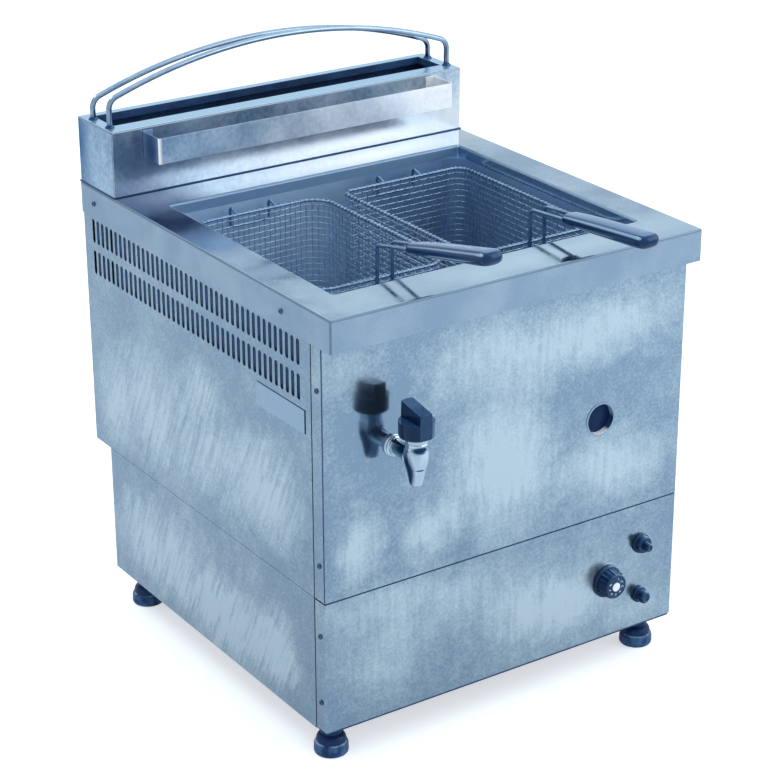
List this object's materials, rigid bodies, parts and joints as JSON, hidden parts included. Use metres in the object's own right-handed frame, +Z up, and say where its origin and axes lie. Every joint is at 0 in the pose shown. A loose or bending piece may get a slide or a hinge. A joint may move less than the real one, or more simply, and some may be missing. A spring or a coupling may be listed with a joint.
{
  "type": "gas deep fryer",
  "caption": "Free-standing stainless gas deep fryer: open tank with wire baskets on long grips, drain tap, flue box with hanger rail and arched guard rods, gas knob and push buttons.",
  "frame": {"origin": "on the floor, under the middle of the overall box (grip tips to the back edge)", "axes": "+X to the right seen from the front, +Y to the back, +Z up"},
  "size_m": [0.6048, 0.7651, 0.8479],
  "materials": {
    "stainless": "satin stainless sheet with cloudy wiped patches",
    "bright_rod": "bright drawn stainless",
    "basket_wire": "bright wire mesh",
    "plated_brass": "plated, polished",
    "brass": "turned",
    "black_plastic": "moulded, satin",
    "grip_plastic": "moulded, glossy",
    "white_plastic": "moulded",
    "rubber": "matt",
    "dark_paint": "dark stoved paint",
    "galvanised": "galvanised sheet",
    "burner_steel": "plain steel tube",
    "valve_alloy": "die cast",
    "ceramic": "glazed ceramic"
  },
  "bodies": {
    "cabinet": {"base_tray": "dark_paint", "basket_rack": "stainless", "burner_left": "burner_steel", "burner_right": "burner_steel", "drain_pipe": "stainless", "firebox": "galvanised", "flue_box": "stainless", "flue_duct": "galvanised", "foot_back_left": "rubber", "foot_back_right": "rubber", "foot_bolts": "galvanised", "foot_front_left": "rubber", "foot_front_right": "rubber", "fry_tank": "stainless", "gas_injectors": "brass", "gas_inlet_pipe": "burner_steel", "gas_manifold": "burner_steel", "gas_riser": "burner_steel", "gas_valve": "valve_alloy", "guard_rod_front": "bright_rod", "guard_rod_rear": "bright_rod", "hanger_rail": "stainless", "left_lower_panel": "stainless", "left_upper_panel": "stainless", "lower_back_panel": "stainless", "lower_front_panel": "stainless", "panel_screws": "bright_rod", "piezo_igniter": "black_plastic", "pilot_burner": "burner_steel", "pilot_button_collar": "black_plastic", "post_back_left": "dark_paint", "post_back_right": "dark_paint", "post_front_left": "dark_paint", "post_front_right": "dark_paint", "rating_plate": "stainless", "right_lower_panel": "stainless", "right_upper_panel": "stainless", "sight_port": "stainless", "spark_electrode": "ceramic", "tap_body": "plated_brass", "tap_bonnet": "plated_brass", "tap_flange": "plated_brass", "thermocouple": "burner_steel", "thermostat_bulb": "burner_steel", "upper_back_panel": "stainless", "upper_front_panel": "stainless", "worktop": "stainless"},
    "drain_handle": {"tap_handle": "black_plastic", "tap_plug": "brass"},
    "gas_control": {"gas_knob": "black_plastic", "knob_insert": "white_plastic", "valve_spindle": "brass"},
    "igniter_button": {"piezo_button": "black_plastic"},
    "pilot_push": {"pilot_button": "black_plastic"},
    "left_basket": {"basket_left_mesh": "basket_wire", "basket_left_frame": "bright_rod", "basket_left_grip": "grip_plastic"},
    "right_basket": {"basket_right_mesh": "basket_wire", "basket_right_frame": "bright_rod", "basket_right_grip": "grip_plastic"}
  },
  "joints": [
    {"name": "drain_tap_turn", "type": "hinge", "parent": "cabinet", "child": "drain_handle", "pos_m": [-0.1895, -0.309, 0.4514], "axis": [0, 0, 1], "range_deg": [0, 90]},
    {"name": "gas_knob_turn", "type": "hinge", "parent": "cabinet", "child": "gas_control", "pos_m": [0.175, -0.257, 0.144], "axis": [0, -1, 0], "range_deg": [0, 270]},
    {"name": "igniter_press", "type": "slide", "parent": "cabinet", "child": "igniter_button", "axis": [0, 1, 0], "range_m": [0, 0.008], "stiffness_N_per_m": 800},
    {"name": "pilot_press", "type": "slide", "parent": "cabinet", "child": "pilot_push", "axis": [0, 1, 0], "range_m": [0, 0.006], "stiffness_N_per_m": 600},
    {"name": "left_basket_lift", "type": "slide", "parent": "cabinet", "child": "left_basket", "axis": [0, 0, 1], "range_m": [0, 0.2]},
    {"name": "right_basket_lift", "type": "slide", "parent": "cabinet", "child": "right_basket", "axis": [0, 0, 1], "range_m": [0, 0.2]}
  ]
}
